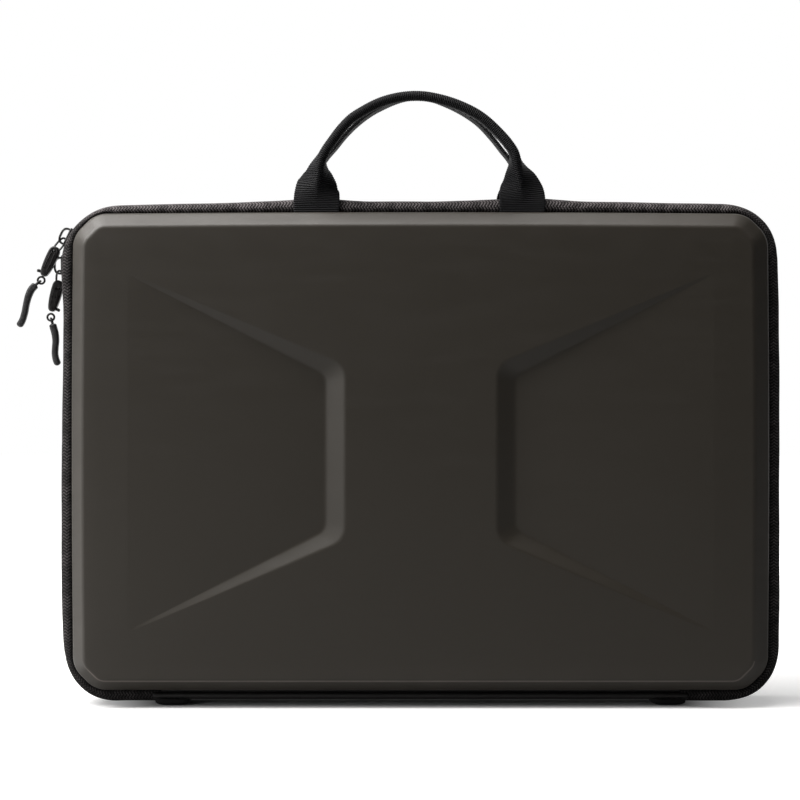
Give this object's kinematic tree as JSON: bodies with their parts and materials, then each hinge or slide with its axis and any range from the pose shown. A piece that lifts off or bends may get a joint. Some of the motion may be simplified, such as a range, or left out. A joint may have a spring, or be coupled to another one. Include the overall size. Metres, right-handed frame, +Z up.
{
  "type": "laptop hard case",
  "caption": "Hard-shell laptop case with clipped corners, sunken front panels, a zipper band, a fabric spine and webbing carrying handles.",
  "frame": {"origin": "on the floor under the middle of the standing case, between its two halves and 2.4 mm under the spine", "axes": "+X to the right along the case as seen from the front, +Y from the front shell to the rear shell, +Z up towards the handles"},
  "size_m": [0.4152, 0.044, 0.334],
  "materials": {
    "shell": "matte",
    "lining": "matte",
    "binding": "matte",
    "zipper_tape": "matte",
    "coil": "satin",
    "webbing": "matte",
    "mesh": "matte",
    "elastic": "matte",
    "slider_metal": "satin",
    "hook_plastic": "satin",
    "tail_rubber": "matte"
  },
  "bodies": {
    "rear_half": {"shell_rear": "shell", "lining_rear": "lining", "binding_rear": "binding", "tape_rear": "zipper_tape", "coil_rear": "coil", "spine_rear": "zipper_tape", "cover_left_rear": "zipper_tape", "cover_right_rear": "zipper_tape", "tab_rear_left": "webbing", "tab_rear_right": "webbing", "elastic_top_left": "elastic", "elastic_top_right": "elastic", "elastic_bottom_left": "elastic", "elastic_bottom_right": "elastic"},
    "front_half": {"shell_front": "shell", "lining_front": "lining", "binding_front": "binding", "tape_front": "zipper_tape", "coil_front": "coil", "spine_front": "zipper_tape", "cover_left_front": "zipper_tape", "cover_right_front": "zipper_tape", "tab_front_left": "webbing", "tab_front_right": "webbing", "mesh_pocket": "mesh", "pocket_trim": "mesh", "pocket_hem": "elastic"},
    "front_handle": {"handle_front": "webbing"},
    "rear_handle": {"handle_rear": "webbing"},
    "upper_slider": {"slider_upper": "slider_metal"},
    "upper_bail": {"bail_upper": "slider_metal"},
    "upper_hook": {"hook_upper": "hook_plastic"},
    "upper_bolt": {"bolt_upper": "slider_metal"},
    "upper_tail": {"tail_upper": "tail_rubber"},
    "lower_slider": {"slider_lower": "slider_metal"},
    "lower_bail": {"bail_lower": "slider_metal"},
    "lower_hook": {"hook_lower": "hook_plastic"},
    "lower_bolt": {"bolt_lower": "slider_metal"},
    "lower_tail": {"tail_lower": "tail_rubber"}
  },
  "joints": [
    {"name": "front_half_opens", "type": "hinge", "parent": "rear_half", "child": "front_half", "pos_m": [0, 0, -0.0005], "axis": [1, 0, 0], "range_deg": [0, 180]},
    {"name": "front_handle_folds", "type": "hinge", "parent": "front_half", "child": "front_handle", "pos_m": [0, -0.0113, 0.272], "axis": [1, 0, 0], "range_deg": [-4, 110]},
    {"name": "rear_handle_folds", "type": "hinge", "parent": "rear_half", "child": "rear_handle", "pos_m": [0, 0.0113, 0.272], "axis": [1, 0, 0], "range_deg": [-110, 4]},
    {"name": "upper_slider_runs", "type": "hinge", "parent": "rear_half", "child": "upper_slider", "pos_m": [-0.1635, 0, 0.2415], "axis": [0, 1, 0], "range_deg": [0, 55]},
    {"name": "lower_slider_runs", "type": "slide", "parent": "rear_half", "child": "lower_slider", "axis": [0, 0, 1], "range_m": [-0.18, 0]},
    {"name": "upper_bail_swings", "type": "hinge", "parent": "upper_slider", "child": "upper_bail", "pos_m": [-0.19538, 0, 0.25405], "axis": [0, 1, 0], "range_deg": [0, 70]},
    {"name": "upper_hook_swings", "type": "hinge", "parent": "upper_bail", "child": "upper_hook", "pos_m": [-0.20031, -0.0026, 0.24775], "axis": [0, 1, 0], "range_deg": [0, 70]},
    {"name": "upper_tail_swings", "type": "hinge", "parent": "upper_hook", "child": "upper_tail", "pos_m": [-0.20703, -0.0026, 0.23191], "axis": [0, 1, 0], "range_deg": [0, 70]},
    {"name": "upper_bolt_slides", "type": "slide", "parent": "upper_hook", "child": "upper_bolt", "axis": [0.3907, 0, 0.9205], "range_m": [0, 0.0022], "stiffness_N_per_m": 150},
    {"name": "lower_bail_swings", "type": "hinge", "parent": "lower_slider", "child": "lower_bail", "pos_m": [-0.1977, 0, 0.2357], "axis": [0, 1, 0], "range_deg": [0, 38]},
    {"name": "lower_hook_swings", "type": "hinge", "parent": "lower_bail", "child": "lower_hook", "pos_m": [-0.19881, 0.0026, 0.22778], "axis": [0, 1, 0], "range_deg": [0, 70]},
    {"name": "lower_tail_swings", "type": "hinge", "parent": "lower_hook", "child": "lower_tail", "pos_m": [-0.20209, 0.0026, 0.21089], "axis": [0, 1, 0], "range_deg": [0, 70]},
    {"name": "lower_bolt_slides", "type": "slide", "parent": "lower_hook", "child": "lower_bolt", "axis": [0.1908, 0, 0.9816], "range_m": [0, 0.0022], "stiffness_N_per_m": 150}
  ]
}
